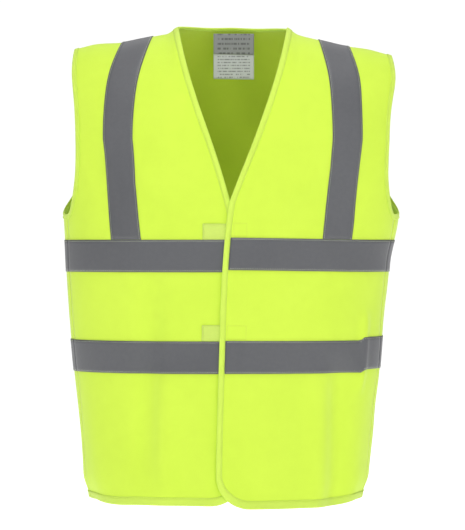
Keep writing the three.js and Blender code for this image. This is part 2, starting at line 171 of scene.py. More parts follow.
def relief(s, h, face):
    """How far the hanging cloth stands off the surface."""
    out = np.zeros_like(s)
    for where, a, b, width, depth in FOLDS:
        if where != face:
            continue
        a, b = np.array(a, float), np.array(b, float)
        d = b - a
        t = ((s - a[0]) * d[0] + (h - a[1]) * d[1]) / (d @ d)
        side = ((s - a[0]) * d[1] - (h - a[1]) * d[0]) / math.hypot(*d)
        ends = smooth((t + 0.15) / 0.3) * smooth((1.15 - t) / 0.3)
        out += depth * bell(side, width) * ends
    low = smooth((-560 - h) / 190)
    out += low * (2.2 * np.sin(s / 31 + 0.8) + 1.4 * np.sin(s / 17.3 + h / 160))
    out += 0.7 * np.sin(s / 43 + h / 57) + 0.45 * np.sin(s / 23 - h / 37 + 1.1)
    seam = seam_at(min(float(h.min()), ARMPIT), face)
    out *= smooth((seam - np.abs(s)) / 40)
    middle = 1 - bell(s, 42) if face == FRONT else 1
    shoulder = 1 - 0.8 * smooth((h - CHEST_Z) / ROUND)
    return out * middle * shoulder


# how far the hung cloth strays from the pattern, in millimetres
DRIFT_HIGH, DRIFT_LOW = 4.5, 6.8  # the middle, to the wearer's right, by the armpits and again by the hem
SHOULDER_SKEW = 5  # the wearer's left shoulder lower than the right
OVER_FRONT_LIFT = 3.4  # upper tape, at the over front's edge
UNDER_HEM_LIFT = 4.5
PULL_LEFT, PULL_RIGHT, HEM_SPREAD = 9, 4, 3  # side seams in under the arms, and out by the hem
SWELL_LEFT, SWELL_RIGHT, ARM_TUCK = 8, 4.5, 3  # shoulder ends out, armholes in
CORNER_IN, CORNER_UP = 10, 7  # hem corners
CREASE_RISE = 6  # lower tape past its crease
SLACK_LEFT, SLACK_RIGHT = 6.4, 8.5  # shoulder line down between neck and tip


def hang(point, x, z, face, side):
    """Moves points across and up or down, as the hung cloth does. x and z are where they were."""
    edge, wide = np.abs(x) / 250, np.abs(x)
    point[..., 0] -= DRIFT_HIGH * smooth((-170 - z) / 150) + DRIFT_LOW * smooth((-390 - z) / 340)
    point[..., 2] -= SHOULDER_SKEW * np.clip(x / 250, -1, 1) * smooth((z + 300) / 300)
    if face == FRONT and side < 0:
        point[..., 2] += UNDER_HEM_LIFT * smooth((-560 - z) / 190) * (1 - smooth((wide - 130) / 80))
    pull_left = PULL_LEFT * smooth((-296 - z) / 80) * (1 - smooth((-430 - z) / 140))
    pull_left -= HEM_SPREAD * smooth((-590 - z) / 60)
    pull = np.where(x > 0, pull_left, PULL_RIGHT * bell(z + 330, 80))
    swell = np.where(x > 0, SWELL_LEFT, SWELL_RIGHT) * bell(z + 72, 42) - ARM_TUCK * bell(z + 190, 60)
    point[..., 0] += np.sign(x) * edge**3 * (swell * (z > -300) - pull)
    corner = smooth((-706 - z) / 46)
    point[..., 0] -= np.sign(x) * corner * CORNER_IN * edge**2
    point[..., 2] += corner * CORNER_UP * np.clip((wide - 150) / 60, 0, 1) ** 2
    point[..., 2] += CREASE_RISE * smooth((x - 209) / 7) * bell(z + 515, 55)
    slack = smooth((wide - 84) / 22) * (1 - smooth((wide - 165) / 60)) * smooth((z + 120) / 100)
    point[..., 2] -= slack * np.where(x > 0, SLACK_LEFT, SLACK_RIGHT)


def spot(q, h, face, side=1, d=0.0):
    """Point of the hanging cloth at q, h, d out from the surface, in metres."""
    q, h = np.broadcast_arrays(np.asarray(q, float), np.asarray(h, float))
    e = 0.6
    h_hi = np.minimum(h + e, TOP + 3)
    low = np.where(h > CHEST_Z, np.maximum(h_hi - 2 * e, CHEST_Z), h - e)
    if float(h.min()) > CHEST_Z:
        up = bare(q, h_hi, face) - bare(q, low, face)
    else:
        level = float(h.min())
        up = bare(q, np.full_like(h, level + e), face) - bare(q, np.full_like(h, level - e), face)
    normal = np.cross(bare(q + e, h, face) - bare(q - e, h, face), up) * (-face)
    normal /= np.linalg.norm(normal, axis=-1, keepdims=True)
    lift = LIFT * (1 - smooth((q - 62) / 62)) if (face == FRONT and side > 0) else 0.0
    point = bare(q, h, face) + normal * (d + lift + relief(side * q, h, face))[..., None]
    point[..., 0] *= side
    x, z = point[..., 0].copy(), point[..., 2].copy()
    hang(point, x, z, face, side)
    if face == FRONT and side > 0:
        point[..., 2] += OVER_FRONT_LIFT * np.clip(1 - q / 230, 0, 1) * bell(h + 361, 110)
    return point / 1000


# ------------------------------------------------------------------ outlines
ARM_EDGE = {f: across(CHEST_Z, f, SHOULDER_WIDTH / 2 - 1) for f in (FRONT, REAR)}
BACK_NECK_Q = across(CHEST_Z, REAR, NECK_WIDTH / 2)


def v_height(t):
    z = -V_DROP * t
    x = NECK_WIDTH / 2 * (1 - t) * (1 + 0.12 * math.sin(math.pi * t))
    if z <= CHEST_Z:
        return across(z, FRONT, x) if x > 1e-6 else 0.0, z
    h = CHEST_Z + ROUND * math.asin(min(1, (z - CHEST_Z) / (seam_height(x) - CHEST_Z))) / (math.pi / 2)
    return across(CHEST_Z, FRONT, x), h


def v_edge(past):
    rows = [v_height(t) for t in np.linspace(0, 1, 60)]
    for t in np.linspace(0.04, 1, 26):
        rows.append((-past * (1 - (1 - t) ** 2), -V_DROP - EDGE_EASE * t))
    return np.array(rows)


def arm_edge(face):
    side, edge = seam_at(ARMPIT, face), ARM_EDGE[face]
    t = np.linspace(0, 1, 26) * math.pi / 2
    fill = 0.85 if face == FRONT else 1.25
    rows = []
    for a in t:
        out = edge + (side - edge) * (1 - math.sin(a)) ** fill
        rows.append((out, ARMPIT + ARMHOLE_SCOOP * (1 - math.cos(a))))
    return np.array(rows)


def left_limit(h, past, edge):
    if h < HEM + CORNER_RADIUS:
        c = (h - HEM) / CORNER_RADIUS
        return -past + CORNER_RADIUS * (1 - math.sqrt(max(0, 1 - (1 - c) ** 2)))
    if h < edge[-1, 1]:
        return -past
    return float(np.interp(h, edge[::-1, 1], edge[::-1, 0]))


def right_limit(h, face):
    if h <= ARMPIT:
        return seam_at(h, face)
    if h >= ARMPIT + ARMHOLE_SCOOP:
        return ARM_EDGE[face]
    a = math.acos(1 - (h - ARMPIT) / ARMHOLE_SCOOP)
    side = seam_at(ARMPIT, face)
    return ARM_EDGE[face] + (side - ARM_EDGE[face]) * (1 - math.sin(a))


def heights(step):
    corner = HEM + CORNER_RADIUS * (1 - np.cos(np.linspace(0, math.pi / 2, 12)))
    scoop = ARMPIT + ARMHOLE_SCOOP * (1 - np.cos(np.linspace(0, math.pi / 2, 18)))
    body = np.arange(corner[-1] + step, ARMPIT - 2, step)
    upper = np.linspace(scoop[-1], TOP, int((TOP - scoop[-1]) / step))[1:]
    return np.r_[corner, body, scoop, upper]


STEP = 6.0


def front_rows(side, columns=64):
    past = PAST_CENTRE[side]
    edge = v_edge(past)
    rows = []
    for h in heights(STEP):
        q = np.linspace(left_limit(h, past, edge), right_limit(h, FRONT), columns)
        rows.append((q, np.full(columns, h)))
    return rows


def back_rows(columns=120):
    rows = []
    crown = TOP - BACK_NECK_DROP - 26
    list_h = heights(STEP)
    for h in list_h[list_h <= crown]:
        r = right_limit(h, REAR)
        rows.append((np.linspace(-r, r, columns), np.full(columns, h)))
    r = ARM_EDGE[REAR]
    q = np.linspace(-r, r, columns)
    top = TOP - np.where(np.abs(q) < BACK_NECK_Q, BACK_NECK_DROP * (1 - (np.abs(q) / BACK_NECK_Q) ** 2.6), 0)
    start = rows[-1][1]
    for t in np.linspace(0, 1, 12)[1:]:
        rows.append((q, mix(start, top, t)))
    return rows


# ------------------------------------------------------------------ meshes
def new_mesh(name, verts, faces, uvs=None, smooth_faces=True):
    mesh = bpy.data.meshes.new(name)
    mesh.from_pydata([tuple(v) for v in verts], [], faces)
    if uvs is not None:
        layer = mesh.uv_layers.new(name="cloth")
        loops = np.empty(len(mesh.loops), int)
        mesh.loops.foreach_get("vertex_index", loops)
        layer.data.foreach_set("uv", np.asarray(uvs, np.float32)[loops].ravel())
    if smooth_faces:
        mesh.polygons.foreach_set("use_smooth", [True] * len(mesh.polygons))
    mesh.validate()
    mesh.update()
    obj = bpy.data.objects.new(name, mesh)
    bpy.context.scene.collection.objects.link(obj)
    bm = bmesh.new()
    bm.from_mesh(mesh)
    bmesh.ops.remove_doubles(bm, verts=bm.verts, dist=1e-6)
    bmesh.ops.recalc_face_normals(bm, faces=bm.faces)
    bm.to_mesh(mesh)
    bm.free()
    return obj


def cloth_sheet(name, rows, face, side, outer, inner):
    """Closed sheet between two layers, from rows of (q, h)."""
    n, m = len(rows), len(rows[0][0])
    layers = []
    for d in (outer, inner):
        layers.append(np.concatenate([spot(q, h, face, side, d) for q, h in rows]))
    verts = np.concatenate(layers)
    uv = np.concatenate([np.stack([side * q, h], -1) for q, h in rows]) / 1000
    uv = np.concatenate([uv, uv + [0, 3]])
    faces = []
    k = n * m
    for j in range(n - 1):
        for i in range(m - 1):
            a = j * m + i
            faces.append((a, a + 1, a + m + 1, a + m))
            faces.append((a + k, a + m + k, a + m + 1 + k, a + 1 + k))
    rim = [i for i in range(m)] + [j * m + m - 1 for j in range(1, n)]
    rim += [(n - 1) * m + i for i in range(m - 2, -1, -1)] + [j * m for j in range(n - 2, 0, -1)]
    for a, b in zip(rim, rim[1:] + rim[:1]):
        faces.append((a, a + k, b + k, b))
    return new_mesh(name, verts, faces, uv)


def resample(path, step):
    path = np.asarray(path, float)
    gaps = np.r_[0, np.cumsum(np.hypot(*np.diff(path, axis=0).T))]
    count = max(2, int(round(gaps[-1] / step)) + 1)
    s = np.linspace(0, gaps[-1], count)
    return np.stack([np.interp(s, gaps, path[:, 0]), np.interp(s, gaps, path[:, 1])], -1)


def tangents(path):
    d = np.gradient(path, axis=0)
    return d / np.linalg.norm(d, axis=1, keepdims=True)


# profile of a folded binding: distance in from the edge, as a share of its width and then in millimetres,
# and depth out from the cloth
BINDING_PROFILE = [
    (1.0, 0, 1.3), (0.94, 0, 1.95), (0.5, 0, 2.15), (0.12, 0, 2.2), (0, -0.7, 1.8), (0, -1.1, 0.6),
    (0, -0.7, -0.7), (0.12, 0, -1.05), (0.5, 0, -1.0), (0.94, 0, -0.85), (1.0, 0, -0.2),
    (0.5, 0, -0.15), (0, 0.1, 0.0), (0, -0.3, 0.6), (0, 0.1, 1.15), (0.5, 0, 1.25),
]


def folded_binding(name, runs, width, closed=False):
    """Strip folded round an edge. runs: (path, face, side, inward sign), each following on from the last."""
    rings, uvs, length = [], [], 0.0
    for path, face, side, turn in runs:
        t = tangents(path)
        inward = np.stack([-t[:, 1], t[:, 0]], -1) * turn
        step = np.r_[0, np.hypot(*np.diff(path, axis=0).T)]
        for p, n, s in zip(path, inward, step):
            length += s
            ring, uv = [], []
            pucker = 0.12 * math.sin(length / 2.1) + 0.08 * math.sin(length / 5.3)
            for share, extra, d in BINDING_PROFILE:
                inset = share * (width if not callable(width) else width(p[1])) + extra
                q, h = p + n * inset
                ring.append(spot(q, h, face, side, d + (pucker if 0.2 < share < 0.99 else 0)).reshape(3))
                uv.append((length / 1000, inset / 1000 + (0 if d > 0.6 else 0.05)))
            rings.append(ring)
            uvs.append(uv)
    n, m = len(rings), len(BINDING_PROFILE)
    verts = np.array(rings).reshape(-1, 3)
    faces = []
    for j in range(n if closed else n - 1):
        for i in range(m):
            a, b = j * m + i, j * m + (i + 1) % m
            c, d = ((j + 1) % n) * m + (i + 1) % m, ((j + 1) % n) * m + i
            faces.append((a, b, c, d))
    if not closed:
        faces += [tuple(range(m)), tuple((n - 1) * m + i for i in reversed(range(m)))]
    return new_mesh(name, verts, faces, np.array(uvs).reshape(-1, 2))


# ------------------------------------------------------------------ one stitch, copied along every seam
def model_stitch():
    bpy.ops.object.select_all(action="DESELECT")
    bpy.ops.mesh.primitive_cylinder_add(vertices=6, radius=1, depth=2, end_fill_type="TRIFAN")
    thread = bpy.context.active_object
    bpy.ops.object.mode_set(mode="EDIT")
    bpy.ops.mesh.select_all(action="SELECT")
    bpy.ops.mesh.bisect(plane_co=(0, 0, 0.45), plane_no=(0, 0, 1))
    bpy.ops.mesh.select_all(action="SELECT")
    bpy.ops.mesh.bisect(plane_co=(0, 0, -0.45), plane_no=(0, 0, 1))
    bpy.ops.object.mode_set(mode="OBJECT")
    mesh = thread.data
    shape = np.array([v.co for v in mesh.vertices])
    ends = np.abs(shape[:, 2]) > 0.9
    shape[ends, :2] *= 0.45
    shape[:, 0] += 0.9 - 1.9 * shape[:, 2] ** 2
    faces = [tuple(p.vertices) for p in mesh.polygons]
    bpy.data.objects.remove(thread)
    bpy.data.meshes.remove(mesh)
    return shape, faces


STITCH, STITCH_FACES = model_stitch()


def stitch_row(rows, path, face, side, d, pitch=3.4, length=2.5, thick=0.26):
    """Adds a run of stitches along path, d out from the surface, to rows."""
    path = resample(path, pitch)
    if len(path) < 3:
        return
    mid = (path[1:] + path[:-1]) / 2
    d_line = np.diff(path, axis=0)
    d_line /= np.linalg.norm(d_line, axis=1, keepdims=True)
    wobble = rng.normal(0, 0.06, (len(mid), 2))
    for p, t, w in zip(mid, d_line, wobble):
        p = p + w
        a = spot(p[0] - t[0], p[1] - t[1], face, side, d).reshape(3)
        b = spot(p[0] + t[0], p[1] + t[1], face, side, d).reshape(3)
        c = spot(p[0], p[1], face, side, d).reshape(3)
        o = spot(p[0], p[1], face, side, d + 1).reshape(3)
        along = (b - a) / np.linalg.norm(b - a)
        out = (o - c) / np.linalg.norm(o - c)
        cross = np.cross(along, out)
        rows.append((c, along * length / 2000, out * thick / 1000, cross * thick / 1000))


def stitch_mesh(name, rows):
    base = np.array([r[0] for r in rows])[:, None, :]
    along, out, cross = (np.array([r[i] for r in rows])[:, None, :] for i in (1, 2, 3))
    verts = base + STITCH[None, :, 2:3] * along + STITCH[None, :, 0:1] * out + STITCH[None, :, 1:2] * cross
    n = len(STITCH)
    faces = [tuple(i + k * n for i in f) for k in range(len(rows)) for f in STITCH_FACES]
    mesh = bpy.data.meshes.new(name)
    mesh.from_pydata(verts.reshape(-1, 3).tolist(), [], faces)
    mesh.polygons.foreach_set("use_smooth", [True] * len(mesh.polygons))
    mesh.update()
    obj = bpy.data.objects.new(name, mesh)
    bpy.context.scene.collection.objects.link(obj)
    return obj


# ------------------------------------------------------------------ finishes
def socket(group, name, kind, inward, default=None):
    s = group.interface.new_socket(name=name, in_out="INPUT" if inward else "OUTPUT", socket_type=kind)
    if default is not None:
        s.default_value = default


def math_node(nodes, links, op, a, b=None, c=None):
    n = nodes.new("ShaderNodeMath")
    n.operation = op
    for i, v in enumerate((a, b, c)):
        if v is None:
            continue
        if isinstance(v, (int, float)):
            n.inputs[i].default_value = v
        else:
            links.new(v, n.inputs[i])
    return n.outputs[0]


def knit_group():
    """Warp knit: columns of small loops with a zigzag, from cloth coordinates in metres."""
    g = bpy.data.node_groups.new("warp_knit", "ShaderNodeTree")
    socket(g, "Cloth", "NodeSocketVector", True)
    socket(g, "Pitch", "NodeSocketFloat", True, 1.3)
    socket(g, "Height", "NodeSocketFloat", False)
    socket(g, "Loops", "NodeSocketFloat", False)
    n, l = g.nodes, g.links
    i, o = n.new("NodeGroupInput"), n.new("NodeGroupOutput")
    sep = n.new("ShaderNodeSeparateXYZ")
    l.new(i.outputs["Cloth"], sep.inputs[0])
    per = math_node(n, l, "DIVIDE", 6283.2, i.outputs["Pitch"])
    u = math_node(n, l, "MULTIPLY", sep.outputs["X"], per)
    v = math_node(n, l, "MULTIPLY", sep.outputs["Y"], per)
    zig = math_node(n, l, "MULTIPLY", math_node(n, l, "SINE", v), 0.7)
    column = math_node(n, l, "SINE", math_node(n, l, "ADD", u, zig))
    course = math_node(n, l, "SINE", math_node(n, l, "MULTIPLY", v, 1.35))
    loops = math_node(n, l, "MULTIPLY_ADD", math_node(n, l, "MULTIPLY", column, course), 0.5, 0.5)
    noise = n.new("ShaderNodeTexNoise")
    noise.inputs["Scale"].default_value = 2600
    l.new(i.outputs["Cloth"], noise.inputs["Vector"])
    height = math_node(n, l, "MULTIPLY_ADD", noise.outputs["Fac"], 0.35, loops)
    l.new(height, o.inputs["Height"])
    l.new(loops, o.inputs["Loops"])
    return g


def cloud_group():
    """Slow change over the surface, and a finer one on top of it, both about 0 to 1."""
    g = bpy.data.node_groups.new("slow_change", "ShaderNodeTree")
    socket(g, "Place", "NodeSocketVector", True)
    socket(g, "Coarse", "NodeSocketFloat", True, 9.0)
    socket(g, "Fine", "NodeSocketFloat", True, 60.0)
    socket(g, "Mask", "NodeSocketFloat", False)
    socket(g, "Speckle", "NodeSocketFloat", False)
    n, l = g.nodes, g.links
    i, o = n.new("NodeGroupInput"), n.new("NodeGroupOutput")
    for scale, detail, out in (("Coarse", 3, "Mask"), ("Fine", 5, "Speckle")):
        t = n.new("ShaderNodeTexNoise")
        t.inputs["Detail"].default_value = detail
        l.new(i.outputs["Place"], t.inputs["Vector"])
        l.new(i.outputs[scale], t.inputs["Scale"])
        l.new(t.outputs["Fac"], o.inputs[out])
    return g


KNIT, CLOUD = knit_group(), cloud_group()


def finish(name, light, dark, rough, coarse=9.0, fine=60.0):
    """A material whose colour runs slowly between dark and light; returns what the pattern is added to."""
    m = bpy.data.materials.new(name)
    m.use_nodes = True
    n, l = m.node_tree.nodes, m.node_tree.links
    bsdf = n["Principled BSDF"]
    place = n.new("ShaderNodeTexCoord")
    cloud = n.new("ShaderNodeGroup")
    cloud.node_tree = CLOUD
    cloud.inputs["Coarse"].default_value, cloud.inputs["Fine"].default_value = coarse, fine
    l.new(place.outputs["Object"], cloud.inputs["Place"])
    colour = n.new("ShaderNodeMix")
    colour.data_type = "RGBA"
    l.new(cloud.outputs["Mask"], colour.inputs["Factor"])
    colour.inputs["A"].default_value, colour.inputs["B"].default_value = (*dark, 1), (*light, 1)
    bsdf.inputs["Roughness"].default_value = rough
    return m, n, l, bsdf, place, cloud, colour.outputs["Result"]


def shade(n, l, base, mask, low):
    """Base darkened to the share low where mask is 0."""
    mul = n.new("ShaderNodeMix")
    mul.data_type, mul.blend_type = "RGBA", "MULTIPLY"
    mul.inputs["Factor"].default_value = 1
    ramp = n.new("ShaderNodeMapRange")
    ramp.inputs["To Min"].default_value = low
    l.new(mask, ramp.inputs["Value"])
    l.new(base, mul.inputs["A"])
    l.new(ramp.outputs["Result"], mul.inputs["B"])
    return mul.outputs["Result"]


def bump(n, l, bsdf, height, strength, distance):
    b = n.new("ShaderNodeBump")
    b.inputs["Strength"].default_value, b.inputs["Distance"].default_value = strength, distance
    l.new(height, b.inputs["Height"])
    l.new(b.outputs["Normal"], bsdf.inputs["Normal"])


def fluorescent_cloth(name, light, dark, painted_glow, pitch=1.3, strength=0.35):
    m, n, l, bsdf, place, cloud, colour = finish(name, light, dark, 0.82)
    knit = n.new("ShaderNodeGroup")
    knit.node_tree = KNIT
    knit.inputs["Pitch"].default_value = pitch
    uv = n.new("ShaderNodeUVMap")
    uv.uv_map = "cloth"
    l.new(uv.outputs["UV"], knit.inputs["Cloth"])
    colour = shade(n, l, colour, knit.outputs["Loops"], 0.93)
    colour = shade(n, l, colour, cloud.outputs["Speckle"], 0.95)
    # the inner face is unwrapped three metres higher; there the colour is darkened and made less green as
    # painted shade, the shade inside the vest
    sep = n.new("ShaderNodeSeparateXYZ")
    l.new(uv.outputs["UV"], sep.inputs[0])
    inner = n.new("ShaderNodeMix")
    inner.data_type, inner.blend_type = "RGBA", "MULTIPLY"
    l.new(math_node(n, l, "GREATER_THAN", sep.outputs["Y"], 1.5), inner.inputs["Factor"])
    l.new(colour, inner.inputs["A"])
    inner.inputs["B"].default_value = (0.86, 0.80, 0.78, 1)
    colour = inner.outputs["Result"]
    l.new(colour, bsdf.inputs["Base Color"])
    # the colour is also sent out as emission: a painted glow, the cloth glowing though it is no lamp
    l.new(colour, bsdf.inputs["Emission Color"])
    bsdf.inputs["Emission Strength"].default_value = painted_glow
    bsdf.inputs["Sheen Weight"].default_value = 0.25
    bsdf.inputs["Sheen Roughness"].default_value = 0.45
    bsdf.inputs["Specular IOR Level"].default_value = 0.3
    bump(n, l, bsdf, knit.outputs["Height"], strength, 0.0004)
    return m


def binding_cloth():
    m, n, l, bsdf, place, cloud, colour = finish(
        "folded_binding", (0.64, 0.86, 0.095), (0.58, 0.80, 0.075), 0.75, 14, 90
    )
    uv = n.new("ShaderNodeUVMap")
    uv.uv_map = "cloth"
    sep = n.new("ShaderNodeSeparateXYZ")
    l.new(uv.outputs["UV"], sep.inputs[0])
    rib = math_node(n, l, "SINE", math_node(n, l, "MULTIPLY", sep.outputs["X"], 6283.2 / 1.1))
    rib = math_node(n, l, "MULTIPLY_ADD", rib, 0.5, 0.5)
    colour = shade(n, l, colour, rib, 0.90)
    # painted shade: the binding is darker along the hem, fading out 16 mm above it
    drop = n.new("ShaderNodeSeparateXYZ")
    l.new(place.outputs["Object"], drop.inputs[0])
    painted_hem_shade = n.new("ShaderNodeMapRange")
    painted_hem_shade.inputs["From Min"].default_value, painted_hem_shade.inputs["From Max"].default_value = -0.747, -0.734
    l.new(drop.outputs["Z"], painted_hem_shade.inputs["Value"])
    colour = shade(n, l, colour, painted_hem_shade.outputs["Result"], 0.90)
    l.new(colour, bsdf.inputs["Base Color"])
    # painted glow: the binding also sends out its colour as emission, though it is no lamp
    l.new(colour, bsdf.inputs["Emission Color"])
    bsdf.inputs["Emission Strength"].default_value = 0.05
    bsdf.inputs["Sheen Weight"].default_value = 0.2
    height = math_node(n, l, "MULTIPLY_ADD", cloud.outputs["Speckle"], 0.5, rib)
    bump(n, l, bsdf, height, 0.5, 0.0004)
    return m


def reflective_tape():
    m, n, l, bsdf, place, cloud, colour = finish(
        "reflective_tape", (0.133, 0.136, 0.147), (0.104, 0.106, 0.115), 0.48, 7, 160
    )
    beads = n.new("ShaderNodeTexVoronoi")
    beads.inputs["Scale"].default_value = 1500
    l.new(place.outputs["Object"], beads.inputs["Vector"])
    colour = shade(n, l, colour, beads.outputs["Distance"], 0.85)
    colour = shade(n, l, colour, cloud.outputs["Speckle"], 0.82)
    l.new(colour, bsdf.inputs["Base Color"])
    rough = n.new("ShaderNodeMapRange")
    rough.inputs["To Min"].default_value, rough.inputs["To Max"].default_value = 0.38, 0.62
    l.new(cloud.outputs["Mask"], rough.inputs["Value"])
    l.new(rough.outputs["Result"], bsdf.inputs["Roughness"])
    bsdf.inputs["Specular IOR Level"].default_value = 0.45
    bsdf.inputs["Sheen Weight"].default_value = 0.12
    height = math_node(n, l, "MULTIPLY_ADD", cloud.outputs["Speckle"], 1.5, beads.outputs["Distance"])
    bump(n, l, bsdf, height, 0.22, 0.0003)
    return m


def pad_finish(name, light, dark, scale):
    m, n, l, bsdf, place, cloud, colour = finish(name, light, dark, 0.92, 30, 400)
    fuzz = n.new("ShaderNodeTexVoronoi")
    fuzz.inputs["Scale"].default_value = scale
    l.new(place.outputs["Object"], fuzz.inputs["Vector"])
    colour = shade(n, l, colour, fuzz.outputs["Distance"], 0.88)
    l.new(colour, bsdf.inputs["Base Color"])
    bsdf.inputs["Sheen Weight"].default_value = 0.5
    height = math_node(n, l, "MULTIPLY_ADD", cloud.outputs["Speckle"], 0.6, fuzz.outputs["Distance"])
    bump(n, l, bsdf, height, 0.8, 0.0008)
    return m


def thread_finish(name, light, dark):
    m, n, l, bsdf, place, cloud, colour = finish(name, light, dark, 0.6, 40, 900)
    twist = n.new("ShaderNodeTexWave")
    twist.inputs["Scale"].default_value = 1400
    twist.bands_direction = "DIAGONAL"
    l.new(place.outputs["Object"], twist.inputs["Vector"])
    l.new(shade(n, l, colour, twist.outputs["Fac"], 0.8), bsdf.inputs["Base Color"])
    bump(n, l, bsdf, twist.outputs["Fac"], 0.3, 0.0002)
    return m


def label_finish(name, light, dark, lines):
    m, n, l, bsdf, place, cloud, colour = finish(name, light, dark, 0.42, 20, 300)
    uv = n.new("ShaderNodeUVMap")
    uv.uv_map = "cloth"
    sep = n.new("ShaderNodeSeparateXYZ")
    l.new(uv.outputs["UV"], sep.inputs[0])
    # rows of plain dashes stand in for the print
    row = math_node(n, l, "FRACT", math_node(n, l, "MULTIPLY", sep.outputs["Y"], lines))
    inked = math_node(n, l, "LESS_THAN", row, 0.42)
    words = n.new("ShaderNodeTexNoise")
    words.inputs["Scale"].default_value = 1
    step = n.new("ShaderNodeCombineXYZ")
    l.new(math_node(n, l, "MULTIPLY", sep.outputs["X"], 420), step.inputs["X"])
    line = math_node(n, l, "FLOOR", math_node(n, l, "MULTIPLY", sep.outputs["Y"], lines))
    l.new(math_node(n, l, "MULTIPLY", line, 7.3), step.inputs["Y"])
    l.new(step.outputs[0], words.inputs["Vector"])
    dash = math_node(n, l, "GREATER_THAN", words.outputs["Fac"], 0.47)
    side = math_node(n, l, "LESS_THAN", math_node(n, l, "ABSOLUTE", sep.outputs["X"]), 0.026)
    ink = math_node(n, l, "MULTIPLY", math_node(n, l, "MULTIPLY", inked, dash), side)
    paper = math_node(n, l, "SUBTRACT", 1.0, ink)
    colour = shade(n, l, colour, paper, 0.45)
    l.new(colour, bsdf.inputs["Base Color"])
    bsdf.inputs["Sheen Weight"].default_value = 0.3
    weave = math_node(n, l, "SINE", math_node(n, l, "MULTIPLY", sep.outputs["Y"], 12566))
    bump(n, l, bsdf, math_node(n, l, "MULTIPLY_ADD", weave, 0.4, cloud.outputs["Speckle"]), 0.25, 0.0002)
    return m


YELLOW = fluorescent_cloth("yellow_knit", (0.63, 0.845, 0.070), (0.56, 0.785, 0.054), 0.10)
BINDING = binding_cloth()
TAPE = reflective_tape()
HOOKS = pad_finish("hook_pad_nylon", (0.74, 0.88, 0.14), (0.66, 0.80, 0.10), 700)
LOOPS = pad_finish("loop_pad_nylon", (0.68, 0.87, 0.15), (0.62, 0.82, 0.125), 1100)
YELLOW_THREAD = thread_finish("yellow_thread", (0.66, 0.80, 0.10), (0.56, 0.70, 0.07))
GREY_THREAD = thread_finish("grey_thread", (0.64, 0.68, 0.50), (0.50, 0.54, 0.40))
# the size label's grey, far darker than the care label's, is painted shade: it hangs in the shade of the
# back neck
SHADED_SIZE_PAPER = label_finish("size_label_satin", (0.27, 0.275, 0.28), (0.22, 0.225, 0.23), 130)
CARE_PAPER = label_finish("care_label_satin", (0.56, 0.57, 0.59), (0.48, 0.49, 0.51), 210)

# ------------------------------------------------------------------ the bodies the fronts' pads hang from, and the side names
FLAP = {1: "left_front", -1: "right_front"}
SIDE_NAME = {1: "left", -1: "right"}


def bend_with_front(obj):
    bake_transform(obj)


def dress(obj, material):
    obj.data.materials.clear()
    obj.data.materials.append(material)
    return obj


def band(name, face, side, h0, h1, q0, q1, columns, outer=2.3, inner=1.5, count=10):
    rows = []
    for h in np.linspace(h0, h1, count):
        rows.append((np.linspace(q0(h), q1(h), columns), np.full(columns, h)))
    return cloth_sheet(name, rows, face, side, outer, inner), rows


RIGHT_TOE, RIGHT_LEAN = 7, 10  # how much further in the brace on the wearer's right lies


def brace_middle(h, face, side):
    level = min(h, CHEST_Z)
    astray = side < 0
    toe = (BRACE_TOE + RIGHT_TOE * astray) * float(np.clip((CHEST_Z - h) / (CHEST_Z - UPPER), 0, 1))
    lean = (BRACE_LEAN + RIGHT_LEAN * astray) * float(smooth((h - CHEST_Z) / ROUND))
    return float(across(level, face, BRACE_OFFSET - toe - lean))


HOOPS = {"upper": (UPPER - TAPE_WIDTH, UPPER), "lower": (LOWER - TAPE_WIDTH, LOWER)}
OUTER_LAYER = (2.3, 1.5)  # tapes, out from the cloth
HOOK_LAYER, LOOP_LAYER = (-0.3, -1.2), (2.4, 1.5)
STITCH_INSET, TAPE_STITCH_INSET = 1.6, 2.2  # rows in from an edge
BINDING_TOP, TAPE_TOP, HOOK_TOP, LOOP_TOP = 2.25, 2.38, 1.18, 2.48  # depth a row of stitches lies at


def inward(path):
    t = tangents(path)
    return np.stack([-t[:, 1], t[:, 0]], -1)


trims = {1: [], -1: [], 0: []}
grey_rows = {1: [], -1: [], 0: []}
yellow_rows = {1: [], -1: [], 0: []}
pad_rows = {1: [], -1: []}

